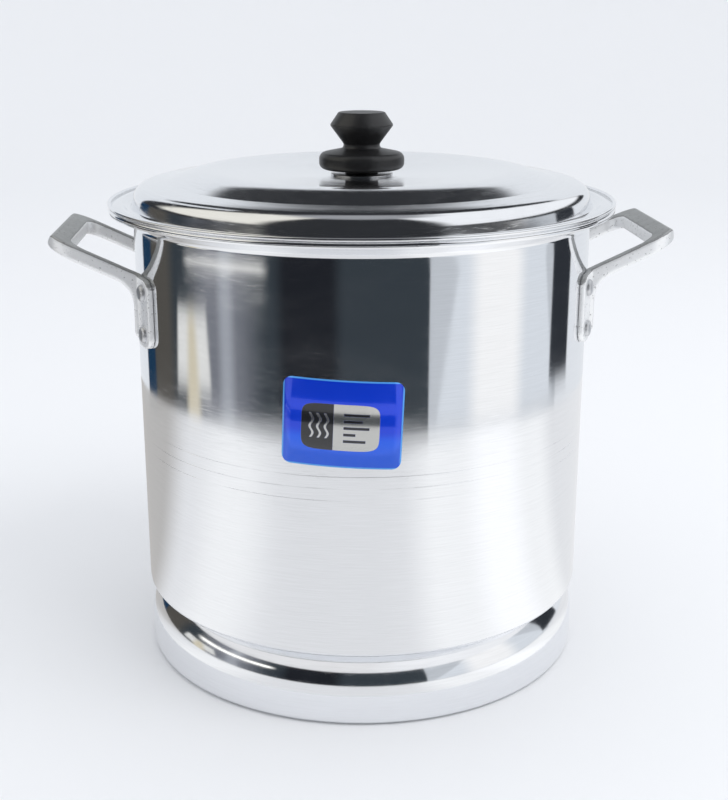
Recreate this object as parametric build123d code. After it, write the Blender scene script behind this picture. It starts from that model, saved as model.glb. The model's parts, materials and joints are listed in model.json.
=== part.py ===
"""Spun aluminium stock pot: a waisted body that carries a steamer rack, a lift-off lid with a
screwed knob, and two cast loop handles on rivets.

+Z is up, +X runs through the handles, and the origin is where the pot's axis meets the surface
that it stands on. Millimetres.
"""
from build123d import *
import os
from math import asin, atan2, cos, degrees, hypot, pi, radians, sin, sqrt, tan

# ---- driving dimensions ------------------------------------------------------------------------

# pot body, one spun sheet
POT_RADIUS = 150.0          # outside of the upper wall
POT_GAUGE = 2.0             # sheet thickness
BASE_CORNER = 5.0           # outside radius round the base
BAND_INSET = 0.5            # how far the lower band lies inside the upper wall
BAND_STRAIGHT = 20.0        # height at which the lower band starts to bulge inwards
BAND_BULGE = 32.0           # radius of that bulge
BAND_LEAN = 47.0            # how far the bulge turns before the groove, in degrees
LEDGE_HEIGHT = 47.5         # underside of the ledge that the waist makes
GROOVE_CORNER = 2.2         # outside radius at the bottom of the waist groove
LEDGE_CORNER = 2.8          # outside radius where the ledge turns up into the wall
NECK_HEIGHT = 296.0         # where the wall starts to flare
NECK_CORNER = 5.0           # outside radius of that turn
FLARE_REACH = 9.6           # how far the flare goes out
MOUTH_RISE = 8.2            # underside of the flat rim above the neck
MOUTH_CORNER = 1.2          # outside radius where the flare meets the flat rim
RIM_REACH = 15.6            # outermost edge of the rim, beyond the upper wall
RIM_BEAD = 2.3              # radius of the rolled edge

# lid, one spun sheet
LID_GAUGE = 1.3             # sheet thickness
LID_OVERHANG = 0.4          # how far the lid's edge stands beyond the pot's rim
LID_HEM = 1.2               # radius of its hemmed edge
PLUG_DEPTH = 4.9            # how deep the locating groove goes below the lid's flange
PLUG_CLEARANCE = 0.9        # gap between that groove and the flare
PLUG_CORNER = 2.0           # inside radius of the groove's bottom
FLANGE_CORNER = 1.6         # radius where the groove meets the flange
SHOULDER_RISE = 10.2        # shoulder above the flange
CROWN_LEAN = 12.0           # how far the crown's side leans in, in degrees
CROWN_CORNER = 10.0         # radius of the crown
SHOULDER_WIDTH = 20.0       # from the crown's corner in to the foot of the raised panel
PANEL_FOOT_RISE = 13.3      # foot of the raised panel above the flange
PANEL_FOOT_CORNER = 5.0     # radius at that foot
PANEL_EDGE_WIDTH = 23.5     # from that foot in to the panel's crest
CREST_RISE = 20.1           # crest above the flange, before it is rounded
CREST_CORNER = 60.0         # radius that rounds the crest
SEAT_RISE = 15.1            # knob seat above the flange
SEAT_RADIUS = 28.0          # flat seat under the knob
SEAT_CORNER = 40.0          # radius where the seat meets the dish

# knob and what holds it
SEAT_WASHER_RADIUS = 20.5
SEAT_WASHER_GAUGE = 1.0
COLLAR_RADIUS = 10.9        # the knob's foot
COLLAR_HEIGHT = 1.8
COLLAR_CORNER = 0.4
COLLAR_FILLET = 0.6         # where the collar meets the underside of the guard
GUARD_RADIUS = 28.0         # finger guard, the knob's wide disc
GUARD_FOOT = 3.0            # underside of the guard's edge above the knob's base
GUARD_TOP = 12.8            # top of the guard's edge
GUARD_LOWER_CORNER = 4.0
GUARD_UPPER_CORNER = 4.4
WAIST_RADIUS = 10.1
WAIST_HEIGHT = 16.6
WAIST_FILLET = 2.5
GRIP_RADIUS = 20.8          # widest part of the grip
GRIP_HEIGHT = 31.0
KNOB_TOP_RADIUS = 15.2
KNOB_HEIGHT = 39.2
GRIP_CORNER = 1.4           # round the grip's widest part and its top
INSERT_RADIUS = 4.5         # threaded insert moulded into the knob
INSERT_LENGTH = 12.0
SCREW_RADIUS = 2.5
SCREW_CLEARANCE = 0.05      # round the screw in the insert, on the radius
SCREW_HOLE_CLEARANCE = 0.3  # round the screw in the lid and washers, on the radius
SCREW_BITE = 10.5           # length of screw inside the knob
SCREW_HEAD_RADIUS = 4.75
SCREW_HEAD_HEIGHT = 3.4
SCREW_HEAD_EDGE = 0.3       # rounding where the head bears on its washer
SCREW_HEAD_DOME = 2.2       # rounding of the head's free end
SCREW_SLOT_WIDTH = 1.3
SCREW_SLOT_DEPTH = 1.5
LOCK_WASHER_RADIUS = 6.5
LOCK_WASHER_GAUGE = 1.2

# handles, one casting each
HANDLE_HALF_WIDTH = 53.0    # middle to the outer face of an arm
HANDLE_REACH = 51.8         # end bar's outer corner beyond the wall, before it is rounded
ARM_TOP_DROP = 25.3         # top of an arm where it meets the wall, below the neck
ARM_RISE = 25.0             # slope of the arms, in degrees
BAR_WIDTH = 7.0             # arm, seen from above
END_BAR_WIDTH = 15.5        # the flat bar that the hand holds, seen from above
BAR_DEPTH = 9.2             # both, square to their slope
BAR_EDGE = 1.8              # rounding along the bar
LOOP_CORNER = 20.0          # outside radius at the loop's corners
LOOP_INNER_CORNER = 11.0    # radius of the corners that the fingers meet
TIP_CORNER = 3.2            # rounding of the end bar's outer edges
TIP_SETBACK = 0.5           # lean of the end bar's outer face
RIB_DEPTH = 5.5             # leg behind the arm, out from the wall
RIB_FILLET = 18.0           # curve from the arm's underside into the leg
FOOT_TOP_DROP = 29.5        # top of the riveted plate below the neck
FOOT_LENGTH = 44.5          # plate, from top to bottom
FOOT_GAUGE = 3.5            # plate that the rivets go through
FOOT_INNER = 44.5           # its inner and outer edges, from the middle of the handle
FOOT_OUTER = 69.5
FOOT_CORNER = 8.0           # radius of its corners
LEG_STOP = 5.0              # how far above the plate's lower end the leg runs out
UPRIGHT = 8.0               # an edge nearer than this to upright isn't rounded, in degrees

# rivets, two to a foot
RIVET_OFFSET = 61.0         # rivet line, from the middle of the handle
RIVET_END_GAP = 9.0         # rivet to the nearer end of the foot
RIVET_RADIUS = 3.0
RIVET_HOLE_CLEARANCE = 0.05
RIVET_HEAD_RADIUS = 5.4
RIVET_HEAD_HEIGHT = 2.6
RIVET_HEAD_DOME = 2.3       # rounding of the head
RIVET_TAIL_RADIUS = 4.8
RIVET_TAIL_HEIGHT = 1.6
RIVET_TAIL_DOME = 1.3       # rounding of the tail
SPOT_FACE = 0.15            # depth of the flat cut under each head
SPOT_FACE_MARGIN = 0.15     # that flat beyond the head, on the radius

# steamer rack
RACK_CLEARANCE = 2.0        # rack to the pot's inner wall
RACK_GAUGE = 1.5
RACK_HOLE_RADIUS = 4.0
RACK_HOLE_PITCH = 23.0      # between rings of holes, and between holes along a ring
RACK_LIFT_HOLE_RADIUS = 11.0
RACK_EDGE_MARGIN = 10.0     # solid metal outside the last ring

# label on the front of the wall
LABEL_WIDTH = 71.0
LABEL_HEIGHT = 53.0
LABEL_CORNER = 5.5
LABEL_GAUGE = 0.2
LABEL_DROP = 98.5           # its middle below the neck
LABEL_TURN = 7.8            # round the wall from the middle of the front, in degrees
LABEL_TILT = 2.5            # clockwise on the wall, in degrees

# ---- worked out from them ----------------------------------------------------------------------

inner_radius = POT_RADIUS - POT_GAUGE
band_radius = POT_RADIUS - BAND_INSET
bulge_tangent = BAND_BULGE * tan(radians(BAND_LEAN / 2))
groove_radius = band_radius - (LEDGE_HEIGHT - BAND_STRAIGHT - bulge_tangent) * tan(radians(BAND_LEAN))
ledge_top = LEDGE_HEIGHT + POT_GAUGE
rim_radius = POT_RADIUS + RIM_REACH
mouth_height = NECK_HEIGHT + MOUTH_RISE
rim_top = mouth_height + POT_GAUGE
flare_angle = atan2(MOUTH_RISE, FLARE_REACH)

flange_top = rim_top + LID_GAUGE
lid_radius = rim_radius + LID_OVERHANG
plug_offset = POT_GAUGE + PLUG_CLEARANCE + LID_GAUGE
seat_top = flange_top + SEAT_RISE
seat_bottom = seat_top - LID_GAUGE
knob_base = seat_top + SEAT_WASHER_GAUGE

arm_slope = tan(radians(ARM_RISE))
arm_top = NECK_HEIGHT - ARM_TOP_DROP
loop_outer = POT_RADIUS + HANDLE_REACH
rib_radius = POT_RADIUS + RIB_DEPTH
foot_top = NECK_HEIGHT - FOOT_TOP_DROP
foot_bottom = foot_top - FOOT_LENGTH
foot_radius = POT_RADIUS + FOOT_GAUGE
rivet_angle = degrees(asin(RIVET_OFFSET / foot_radius))
rivet_heights = {"upper": foot_top - RIVET_END_GAP, "lower": foot_bottom + RIVET_END_GAP}
drill_length = 2 * (POT_GAUGE + RIB_DEPTH + FOOT_GAUGE)


# ---- shared shapes -----------------------------------------------------------------------------

def sheet_section(path, gauge, side):
    """Section of a sheet whose one face follows path, a list of (x, y, corner radius).

    side is +1 when the sheet lies to the left of the path and -1 when it lies to the right.
    """
    steps = [(b[0] - a[0], b[1] - a[1]) for a, b in zip(path, path[1:])]
    headings = [(x / hypot(x, y), y / hypot(x, y)) for x, y in steps]
    normals = [(-side * y, side * x) for x, y in headings]
    far = [(path[0][0] + gauge * normals[0][0], path[0][1] + gauge * normals[0][1])]
    radii = []
    for corner, n1, n2, h1, h2 in zip(path[1:-1], normals, normals[1:], headings, headings[1:]):
        share = gauge / (1 + n1[0] * n2[0] + n1[1] * n2[1])
        far.append((corner[0] + share * (n1[0] + n2[0]), corner[1] + share * (n1[1] + n2[1])))
        turn = side * (h1[0] * h2[1] - h1[1] * h2[0])
        radii.append(corner[2] - gauge if turn > 0 else corner[2] + gauge)
    far.append((path[-1][0] + gauge * normals[-1][0], path[-1][1] + gauge * normals[-1][1]))
    near_line = FilletPolyline(*[p[:2] for p in path], radius=[p[2] for p in path[1:-1]])
    far_line = FilletPolyline(*far, radius=[max(r, 0.0) for r in radii])
    ends = Line(path[0][:2], far[0]) + Line(path[-1][:2], far[-1])
    return make_face(near_line + far_line + ends)


def turned(section):
    """A section drawn as (radius, height), turned about the pot's axis."""
    return revolve(Plane.XZ * section, Axis.Z)


def turned_outline(points):
    """A solid of revolution from its outline, a list of (x, y, corner radius).

    The outline starts and ends on the axis.
    """
    outline = FilletPolyline(*[p[:2] for p in points], radius=[p[2] for p in points[1:-1]])
    return turned(make_face(outline + Line(points[-1][:2], points[0][:2])))


def upright(radius, bottom, top):
    """A cylinder on the pot's axis between two heights."""
    return Pos(0, 0, (bottom + top) / 2) * Cylinder(radius, top - bottom)


def radial(angle, height):
    """A place on the axis whose local Z points outwards at this angle and height."""
    return Pos(0, 0, height) * Rot(0, 0, angle) * Rot(0, 90, 0)


def wall_band(outside):
    """The ring-shaped space from the pot's wall out to a radius, over the whole height."""
    return upright(outside, 0, rim_top) - upright(POT_RADIUS, 0, rim_top)


def rivet_hole(angle, height):
    """Drill for one rivet, through the wall and the handle's foot."""
    drill = Cylinder(RIVET_RADIUS + RIVET_HOLE_CLEARANCE, drill_length)
    return radial(angle, height) * Pos(0, 0, POT_RADIUS) * drill


def flare_point(height, offset):
    """Where a line parallel to the flare, this far inside its outer face, reaches a height."""
    climb = height - NECK_HEIGHT - offset * cos(flare_angle)
    return POT_RADIUS + climb / tan(flare_angle) - offset * sin(flare_angle)


# ---- pot and rack ------------------------------------------------------------------------------

def rivet_places():
    """Every rivet's name, angle and height."""
    for side, middle in (("right", 0), ("left", 180)):
        for end, turn in (("front", -1), ("rear", 1)):
            for level, height in rivet_heights.items():
                angle = middle + turn * rivet_angle * (1 if side == "right" else -1)
                yield f"rivet_{side}_{end}_{level}", angle, height


def make_pot_shell():
    path = [
        (0, 0, 0),
        (band_radius, 0, BASE_CORNER),
        (band_radius, BAND_STRAIGHT + bulge_tangent, BAND_BULGE),
        (groove_radius, LEDGE_HEIGHT, GROOVE_CORNER),
        (POT_RADIUS, LEDGE_HEIGHT, LEDGE_CORNER),
        (POT_RADIUS, NECK_HEIGHT, NECK_CORNER),
        (POT_RADIUS + FLARE_REACH, mouth_height, MOUTH_CORNER),
        (rim_radius - RIM_BEAD, mouth_height, 0),
    ]
    bead = Pos(rim_radius - RIM_BEAD, rim_top - RIM_BEAD) * Circle(RIM_BEAD)
    shell = turned(sheet_section(path, POT_GAUGE, 1) + bead)
    for _, angle, height in rivet_places():
        shell -= rivet_hole(angle, height)
    return shell


def make_steamer_rack():
    radius = inner_radius - RACK_CLEARANCE
    rack = upright(radius, ledge_top, ledge_top + RACK_GAUGE)
    rack -= upright(RACK_LIFT_HOLE_RADIUS, ledge_top, ledge_top + RACK_GAUGE)
    ring_radius = RACK_HOLE_PITCH
    holes = []
    while ring_radius + RACK_HOLE_RADIUS + RACK_EDGE_MARGIN < radius:
        count = int(2 * pi * ring_radius / RACK_HOLE_PITCH)
        for step in range(count):
            place = Rot(0, 0, 360 * step / count) * Pos(ring_radius, 0, ledge_top + RACK_GAUGE / 2)
            holes.append(place * Cylinder(RACK_HOLE_RADIUS, 2 * RACK_GAUGE))
        ring_radius += RACK_HOLE_PITCH
    return rack - holes


def make_front_label():
    tilt = Rot(0, 0, 90 - LABEL_TILT)
    outline = tilt * RectangleRounded(LABEL_WIDTH, LABEL_HEIGHT, LABEL_CORNER)
    place = radial(-90 - LABEL_TURN, NECK_HEIGHT - LABEL_DROP)
    block = place * Pos(0, 0, POT_RADIUS / 2) * extrude(outline, POT_RADIUS)
    return block & wall_band(POT_RADIUS + LABEL_GAUGE)


# ---- lid and knob ------------------------------------------------------------------------------

def make_lid_shell():
    shoulder = flange_top + SHOULDER_RISE
    plug_bottom = flange_top - PLUG_DEPTH
    plug_radius = flare_point(plug_bottom, plug_offset)
    crown_radius = plug_radius - (shoulder - plug_bottom) * tan(radians(CROWN_LEAN))
    panel_radius = crown_radius - SHOULDER_WIDTH
    crest_radius = panel_radius - PANEL_EDGE_WIDTH
    path = [
        (0, seat_top, 0),
        (SEAT_RADIUS, seat_top, SEAT_CORNER),
        (crest_radius, flange_top + CREST_RISE, CREST_CORNER),
        (panel_radius, flange_top + PANEL_FOOT_RISE, PANEL_FOOT_CORNER),
        (crown_radius, shoulder, CROWN_CORNER),
        (plug_radius, plug_bottom, PLUG_CORNER),
        (flare_point(flange_top, plug_offset), flange_top, FLANGE_CORNER),
        (lid_radius - LID_HEM, flange_top, 0),
    ]
    hem = Pos(lid_radius - LID_HEM, rim_top + LID_HEM) * Circle(LID_HEM)
    shell = turned(sheet_section(path, LID_GAUGE, -1) + hem)
    return shell - upright(SCREW_RADIUS + SCREW_HOLE_CLEARANCE, seat_bottom, seat_top)


def make_seat_washer():
    washer = upright(SEAT_WASHER_RADIUS, seat_top, knob_base)
    return washer - upright(SCREW_RADIUS + SCREW_HOLE_CLEARANCE, seat_top, knob_base)


def make_lid_knob():
    knob = turned_outline([
        (0, knob_base, 0),
        (COLLAR_RADIUS, knob_base, COLLAR_CORNER),
        (COLLAR_RADIUS, knob_base + COLLAR_HEIGHT, COLLAR_FILLET),
        (GUARD_RADIUS, knob_base + GUARD_FOOT, GUARD_LOWER_CORNER),
        (GUARD_RADIUS, knob_base + GUARD_TOP, GUARD_UPPER_CORNER),
        (WAIST_RADIUS, knob_base + WAIST_HEIGHT, WAIST_FILLET),
        (GRIP_RADIUS, knob_base + GRIP_HEIGHT, GRIP_CORNER),
        (KNOB_TOP_RADIUS, knob_base + KNOB_HEIGHT, GRIP_CORNER),
        (0, knob_base + KNOB_HEIGHT, 0),
    ])
    return knob - upright(INSERT_RADIUS, knob_base, knob_base + INSERT_LENGTH)


def make_knob_insert():
    insert = upright(INSERT_RADIUS, knob_base, knob_base + INSERT_LENGTH)
    return insert - upright(SCREW_RADIUS + SCREW_CLEARANCE, knob_base, knob_base + INSERT_LENGTH)


def make_lock_washer():
    bottom = seat_bottom - LOCK_WASHER_GAUGE
    washer = upright(LOCK_WASHER_RADIUS, bottom, seat_bottom)
    return washer - upright(SCREW_RADIUS + SCREW_HOLE_CLEARANCE, bottom, seat_bottom)


def make_knob_screw():
    under = seat_bottom - LOCK_WASHER_GAUGE
    bottom = under - SCREW_HEAD_HEIGHT
    head = turned_outline([
        (0, under, 0),
        (SCREW_HEAD_RADIUS, under, SCREW_HEAD_EDGE),
        (SCREW_HEAD_RADIUS, bottom, SCREW_HEAD_DOME),
        (0, bottom, 0),
    ])
    slot = Box(2 * LOCK_WASHER_RADIUS, SCREW_SLOT_WIDTH, SCREW_SLOT_DEPTH)
    head -= Pos(0, 0, bottom + SCREW_SLOT_DEPTH / 2) * slot
    return head + upright(SCREW_RADIUS, under, knob_base + SCREW_BITE)


# ---- handles -----------------------------------------------------------------------------------

def make_loop():
    """Both arms, the end bar and the legs: where their side view and their plan meet."""
    tip = loop_outer - TIP_SETBACK
    bar_edge = tip - BAR_DEPTH * sin(radians(ARM_RISE))
    arm_bottom = arm_top - BAR_DEPTH / cos(radians(ARM_RISE))
    leg = sqrt(rib_radius ** 2 - (HANDLE_HALF_WIDTH - BAR_WIDTH / 2) ** 2)
    leg_bottom = foot_bottom + LEG_STOP
    root = inner_radius - HANDLE_REACH
    side_view = FilletPolyline(
        (root, arm_top + (root - POT_RADIUS) * arm_slope),
        (bar_edge, arm_top + (bar_edge - POT_RADIUS) * arm_slope),
        (loop_outer, arm_bottom + (loop_outer - POT_RADIUS) * arm_slope),
        (leg, arm_bottom + (leg - POT_RADIUS) * arm_slope),
        (leg, leg_bottom),
        (root, leg_bottom),
        radius=[0, TIP_CORNER, TIP_CORNER, RIB_FILLET, RIB_DEPTH / 2, 0],
        close=True,
    )
    side = extrude(Plane.XZ * make_face(side_view), HANDLE_HALF_WIDTH, both=True)
    outer = RectangleRounded(2 * loop_outer, 2 * HANDLE_HALF_WIDTH, LOOP_CORNER)
    inner_reach = loop_outer - END_BAR_WIDTH
    inner_half_width = HANDLE_HALF_WIDTH - BAR_WIDTH
    inner = RectangleRounded(2 * inner_reach, 2 * inner_half_width, LOOP_INNER_CORNER)
    return side & extrude(outer - inner, rim_top + HANDLE_REACH)


def is_long_edge(edge):
    """Edges between an upper or lower face of the loop and its sides, clear of the wall."""
    lean = edge.tangent_at(0.5).get_angle(Vector(0, 0, 1))
    return (edge @ 0.5).X > inner_radius and min(lean, 180 - lean) > UPRIGHT


def make_right_handle():
    loop = make_loop()
    loop = fillet(loop.edges().filter_by(is_long_edge), BAR_EDGE)
    handle = loop & wall_band(2 * loop_outer)
    outline = RectangleRounded(FOOT_LENGTH, FOOT_OUTER - FOOT_INNER, FOOT_CORNER)
    middle_height = (foot_top + foot_bottom) / 2
    for turn in (-1, 1):
        middle = Pos(0, turn * (FOOT_INNER + FOOT_OUTER) / 2, middle_height) * Rot(0, 90, 0)
        handle += middle * extrude(outline, loop_outer) & wall_band(foot_radius)
    seat = Cylinder(RIVET_HEAD_RADIUS + SPOT_FACE_MARGIN, drill_length)
    seat_middle = foot_radius - SPOT_FACE + drill_length / 2
    for name, angle, height in rivet_places():
        if name.startswith("rivet_right"):
            handle -= rivet_hole(angle, height)
            handle -= radial(angle, height) * Pos(0, 0, seat_middle) * seat
    return handle


def make_rivet(angle, height):
    """Domed head on the foot, shank through foot and wall, and the hammered tail inside the pot."""
    under_head = foot_radius - SPOT_FACE
    tail_face = inner_radius - RIVET_TAIL_RADIUS ** 2 / (2 * inner_radius)
    rivet = turned_outline([
        (0, tail_face - RIVET_TAIL_HEIGHT, 0),
        (RIVET_TAIL_RADIUS, tail_face - RIVET_TAIL_HEIGHT, RIVET_TAIL_DOME),
        (RIVET_TAIL_RADIUS, tail_face, 0),
        (RIVET_RADIUS, tail_face, 0),
        (RIVET_RADIUS, under_head, 0),
        (RIVET_HEAD_RADIUS, under_head, 0),
        (RIVET_HEAD_RADIUS, under_head + RIVET_HEAD_HEIGHT, RIVET_HEAD_DOME),
        (0, under_head + RIVET_HEAD_HEIGHT, 0),
    ])
    return radial(angle, height) * rivet


# ---- every piece -------------------------------------------------------------------------------

right_handle = make_right_handle()
pieces = {
    "pot_shell": make_pot_shell(),
    "right_handle": right_handle,
    "left_handle": mirror(right_handle, Plane.YZ),
    "front_label": make_front_label(),
    "steamer_rack": make_steamer_rack(),
    "lid_shell": make_lid_shell(),
    "seat_washer": make_seat_washer(),
    "lid_knob": make_lid_knob(),
    "knob_insert": make_knob_insert(),
    "lock_washer": make_lock_washer(),
    "knob_screw": make_knob_screw(),
}
for rivet_name, rivet_turn, rivet_height in rivet_places():
    pieces[rivet_name] = make_rivet(rivet_turn, rivet_height)

os.makedirs("parts", exist_ok=True)
for name, solid in pieces.items():
    export_step(solid, f"parts/{name}.step")
    print(name, round(solid.volume), [round(v, 1) for v in solid.bounding_box().size])
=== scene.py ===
# %% [markdown]
# # Finishing a spun aluminium stock pot
#
# The pot arrives as an engineer's model: every piece has its true size and its true place, and the
# lid and the steamer rack already know how they move. What it lacks is its looks. This lesson gives
# each piece the surface of the real thing: metal that was turned on a lathe and polished, rough
# castings, a moulded knob and a printed label.
#
# The first cell loads the model as a fixed frame, and a helper reads the box that each part fills.

# %% Load the frame
import json
from math import asin, atan2, ceil, cos, degrees, pi, radians, sin, sqrt, tan

import bmesh
import bpy
from mathutils import Matrix, Vector, noise

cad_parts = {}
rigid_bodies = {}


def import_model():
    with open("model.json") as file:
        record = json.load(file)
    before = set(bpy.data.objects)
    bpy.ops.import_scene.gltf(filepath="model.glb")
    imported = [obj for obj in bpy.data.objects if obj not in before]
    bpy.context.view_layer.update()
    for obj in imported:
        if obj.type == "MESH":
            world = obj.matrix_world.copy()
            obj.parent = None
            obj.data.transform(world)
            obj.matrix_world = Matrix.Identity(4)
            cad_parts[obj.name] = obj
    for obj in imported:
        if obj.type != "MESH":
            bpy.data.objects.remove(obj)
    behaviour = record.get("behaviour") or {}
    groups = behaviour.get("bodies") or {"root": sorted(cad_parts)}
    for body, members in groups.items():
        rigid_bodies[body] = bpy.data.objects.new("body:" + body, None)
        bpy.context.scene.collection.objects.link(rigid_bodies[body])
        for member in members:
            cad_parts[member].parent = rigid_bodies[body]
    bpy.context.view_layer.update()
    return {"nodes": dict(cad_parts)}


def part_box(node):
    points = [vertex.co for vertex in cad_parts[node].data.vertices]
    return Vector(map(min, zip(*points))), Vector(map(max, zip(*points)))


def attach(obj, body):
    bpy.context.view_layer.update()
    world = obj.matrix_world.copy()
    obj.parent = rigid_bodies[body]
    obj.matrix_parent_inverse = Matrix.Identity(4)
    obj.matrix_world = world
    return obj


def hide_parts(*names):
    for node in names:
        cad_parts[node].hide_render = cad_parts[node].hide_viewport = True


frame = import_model()
print("nodes:", sorted(frame["nodes"]))

# %% [markdown]
# ## The camera
#
# A product picture of a pot is taken from a little above the lid, with a moderately long lens, so
# that the rim shows as a shallow ellipse and the wall hardly narrows towards its foot. The pot is
# turned a few degrees, which is the same as walking a few degrees round it.

# %% Camera
MM = 0.001                      # every size below is written in millimetres and used in metres
CAMERA_PITCH = radians(16.9)    # how far the camera looks down
CAMERA_TURN = radians(3.5)      # how far it has walked round the pot
CAMERA_DISTANCE = 866 * MM      # from the pot's axis, measured level
CAMERA_HEIGHT = 430 * MM
CAMERA_ASIDE = 1.5 * MM         # sideways, so that the pot sits just left of the middle
LENS_LENGTH = 58.66             # Blender takes these two in millimetres
SENSOR_WIDTH = 36.0

camera = bpy.data.objects.new("camera", bpy.data.cameras.new("camera"))
camera.data.lens = LENS_LENGTH
camera.data.sensor_width = SENSOR_WIDTH
walk = Matrix.Rotation(-CAMERA_TURN, 3, "Z")
camera.location = walk @ Vector((CAMERA_ASIDE, -CAMERA_DISTANCE, CAMERA_HEIGHT))
camera.rotation_euler = (pi / 2 - CAMERA_PITCH, 0, -CAMERA_TURN)
bpy.context.scene.collection.objects.link(camera)
bpy.context.scene.camera = camera
bpy.context.scene.view_settings.view_transform = "Standard"
print("camera at", [round(v, 3) for v in camera.location])

# %% [markdown]
# ## Sums on sockets
#
# A procedural finish is mostly arithmetic: a distance from the axis, a stripe where that distance
# repeats, a mask times a noise. In the node editor each plus or times is one Math node. The small
# class below wraps a socket and lets Python write those nodes, so that `1 - mask * 0.3` means what
# it says. Every other node comes from one method, which takes the node's type, its settings and
# what goes into its sockets.

# %% Sockets that can be added and multiplied
class Wire:
    """One output socket of a finish, usable in sums as if it were a number."""

    def __init__(self, finish, socket):
        self.finish = finish
        self.socket = socket

    def __add__(self, other):
        return self.finish.maths("ADD", self, other)

    def __radd__(self, other):
        return self.finish.maths("ADD", other, self)

    def __sub__(self, other):
        return self.finish.maths("SUBTRACT", self, other)

    def __rsub__(self, other):
        return self.finish.maths("SUBTRACT", other, self)

    def __mul__(self, other):
        return self.finish.maths("MULTIPLY", self, other)

    def __rmul__(self, other):
        return self.finish.maths("MULTIPLY", other, self)

    def __truediv__(self, other):
        return self.finish.maths("DIVIDE", self, other)

    def __pow__(self, other):
        return self.finish.maths("POWER", self, other)


class Finish:
    """A material with one Principled shader, and the nodes that vary it over a surface."""

    def __init__(self, name, **constants):
        self.material = bpy.data.materials.new(name)
        self.material.use_nodes = True
        self.tree = self.material.node_tree
        self.shader = self.tree.nodes["Principled BSDF"]
        for socket, value in constants.items():
            self.shader.inputs[socket.replace("_", " ")].default_value = value

    def node(self, kind, settings=None, inputs=None):
        """Adds a node, applies its settings, then fills or links its sockets."""
        made = self.tree.nodes.new("ShaderNode" + kind)
        for setting, value in (settings or {}).items():
            if setting == "stops":
                self.set_stops(made.color_ramp, value)
            else:
                setattr(made, setting, value)
        for socket, value in (inputs or {}).items():
            self.feed(made.inputs[socket], value)
        return made

    def set_stops(self, ramp, stops):
        while len(ramp.elements) < len(stops):
            ramp.elements.new(0.5)
        for element, (position, colour) in zip(ramp.elements, stops):
            element.position = position
            element.color = colour

    def feed(self, socket, value):
        if isinstance(value, Wire):
            self.tree.links.new(value.socket, socket)
        else:
            socket.default_value = value

    def maths(self, operation, first, second=0.0):
        made = self.node("Math", {"operation": operation}, {0: first, 1: second})
        return Wire(self, made.outputs[0])

    def drive(self, socket, value):
        """Feeds one of the shader's own sockets with a value that varies over the surface."""
        self.feed(self.shader.inputs[socket], value)

    def place(self):
        """The point on the piece, in metres, as three wires."""
        point = self.node("TexCoord").outputs["Object"]
        split = self.node("SeparateXYZ", inputs={"Vector": Wire(self, point)})
        return [Wire(self, split.outputs[axis]) for axis in "XYZ"]

    def from_axis(self, x, y):
        """The distance from the piece's Z axis, kept just above 0 so that it can divide."""
        return (x * x + y * y + 1e-9) ** 0.5

    def join(self, x, y, z):
        made = self.node("CombineXYZ", inputs={"X": x, "Y": y, "Z": z})
        return Wire(self, made.outputs[0])

    def noise(self, where, scale=1.0, detail=2.0, roughness=0.5):
        """A cloudy value between 0 and 1, with its middle near 0.5."""
        sockets = {"Vector": where, "Scale": scale, "Detail": detail, "Roughness": roughness}
        return Wire(self, self.node("TexNoise", inputs=sockets).outputs[0])

    def ramp(self, value, low, high):
        """0 below low, 1 above high, and smooth between."""
        limits = {"Value": value, "From Min": low, "From Max": high}
        made = self.node("MapRange", {"interpolation_type": "SMOOTHSTEP"}, limits)
        return Wire(self, made.outputs[0])

    def between(self, value, start, end, soft):
        """1 from start to end and 0 outside, with edges this soft."""
        rise = self.ramp(value, start - soft, start + soft)
        fall = self.ramp(value, end - soft, end + soft)
        return rise * (1 - fall)

    def blend(self, amount, first, second):
        """A colour between two colours."""
        sockets = {"Factor": amount, "A": first, "B": second}
        made = self.node("Mix", {"data_type": "RGBA"})
        for name, value in sockets.items():
            socket = [s for s in made.inputs if s.name == name and s.enabled][0]
            self.feed(socket, value)
        return Wire(self, [s for s in made.outputs if s.enabled][0])

    def raise_surface(self, height, depth, strength=1.0):
        """Bumps the surface by height times depth, in metres."""
        sockets = {"Height": height, "Distance": depth, "Strength": strength}
        self.drive("Normal", Wire(self, self.node("Bump", inputs=sockets).outputs[0]))


print("the finish helpers are ready")

# %% [markdown]
# ## Drawing a profile and turning it
#
# The pot and its lid are spun: a flat disc of aluminium is pressed against a turning form until it
# takes its shape. In Blender the matching operator has the same name. A point walks along the
# outline of the sheet, straight runs by extrusion and corners by a small spin of their own, and the
# chain of edges it leaves behind is then spun round the pot's axis.
#
# The alternative, a rounded cylinder with edge loops pushed about, gives softer control but no
# exact radii, and the wall would no longer meet the engineer's model.

# %% Drawing a profile
FACET = 0.012 * MM              # how far a facet may stray from the true curve
RUN = 8 * MM                    # longest step along a straight run


def walk_to(shape, tip, goal, run):
    """Extrudes the point at the end of a profile to a place (radius, height) in short steps."""
    start = tip.co.copy()
    goal = Vector((goal[0], 0, goal[1]))
    steps = max(1, ceil((goal - start).length / run))
    for step in range(1, steps + 1):
        tip = bmesh.ops.extrude_vert_indiv(shape, verts=[tip])["verts"][0]
        tip.co = start.lerp(goal, step / steps)
    return tip


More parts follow.
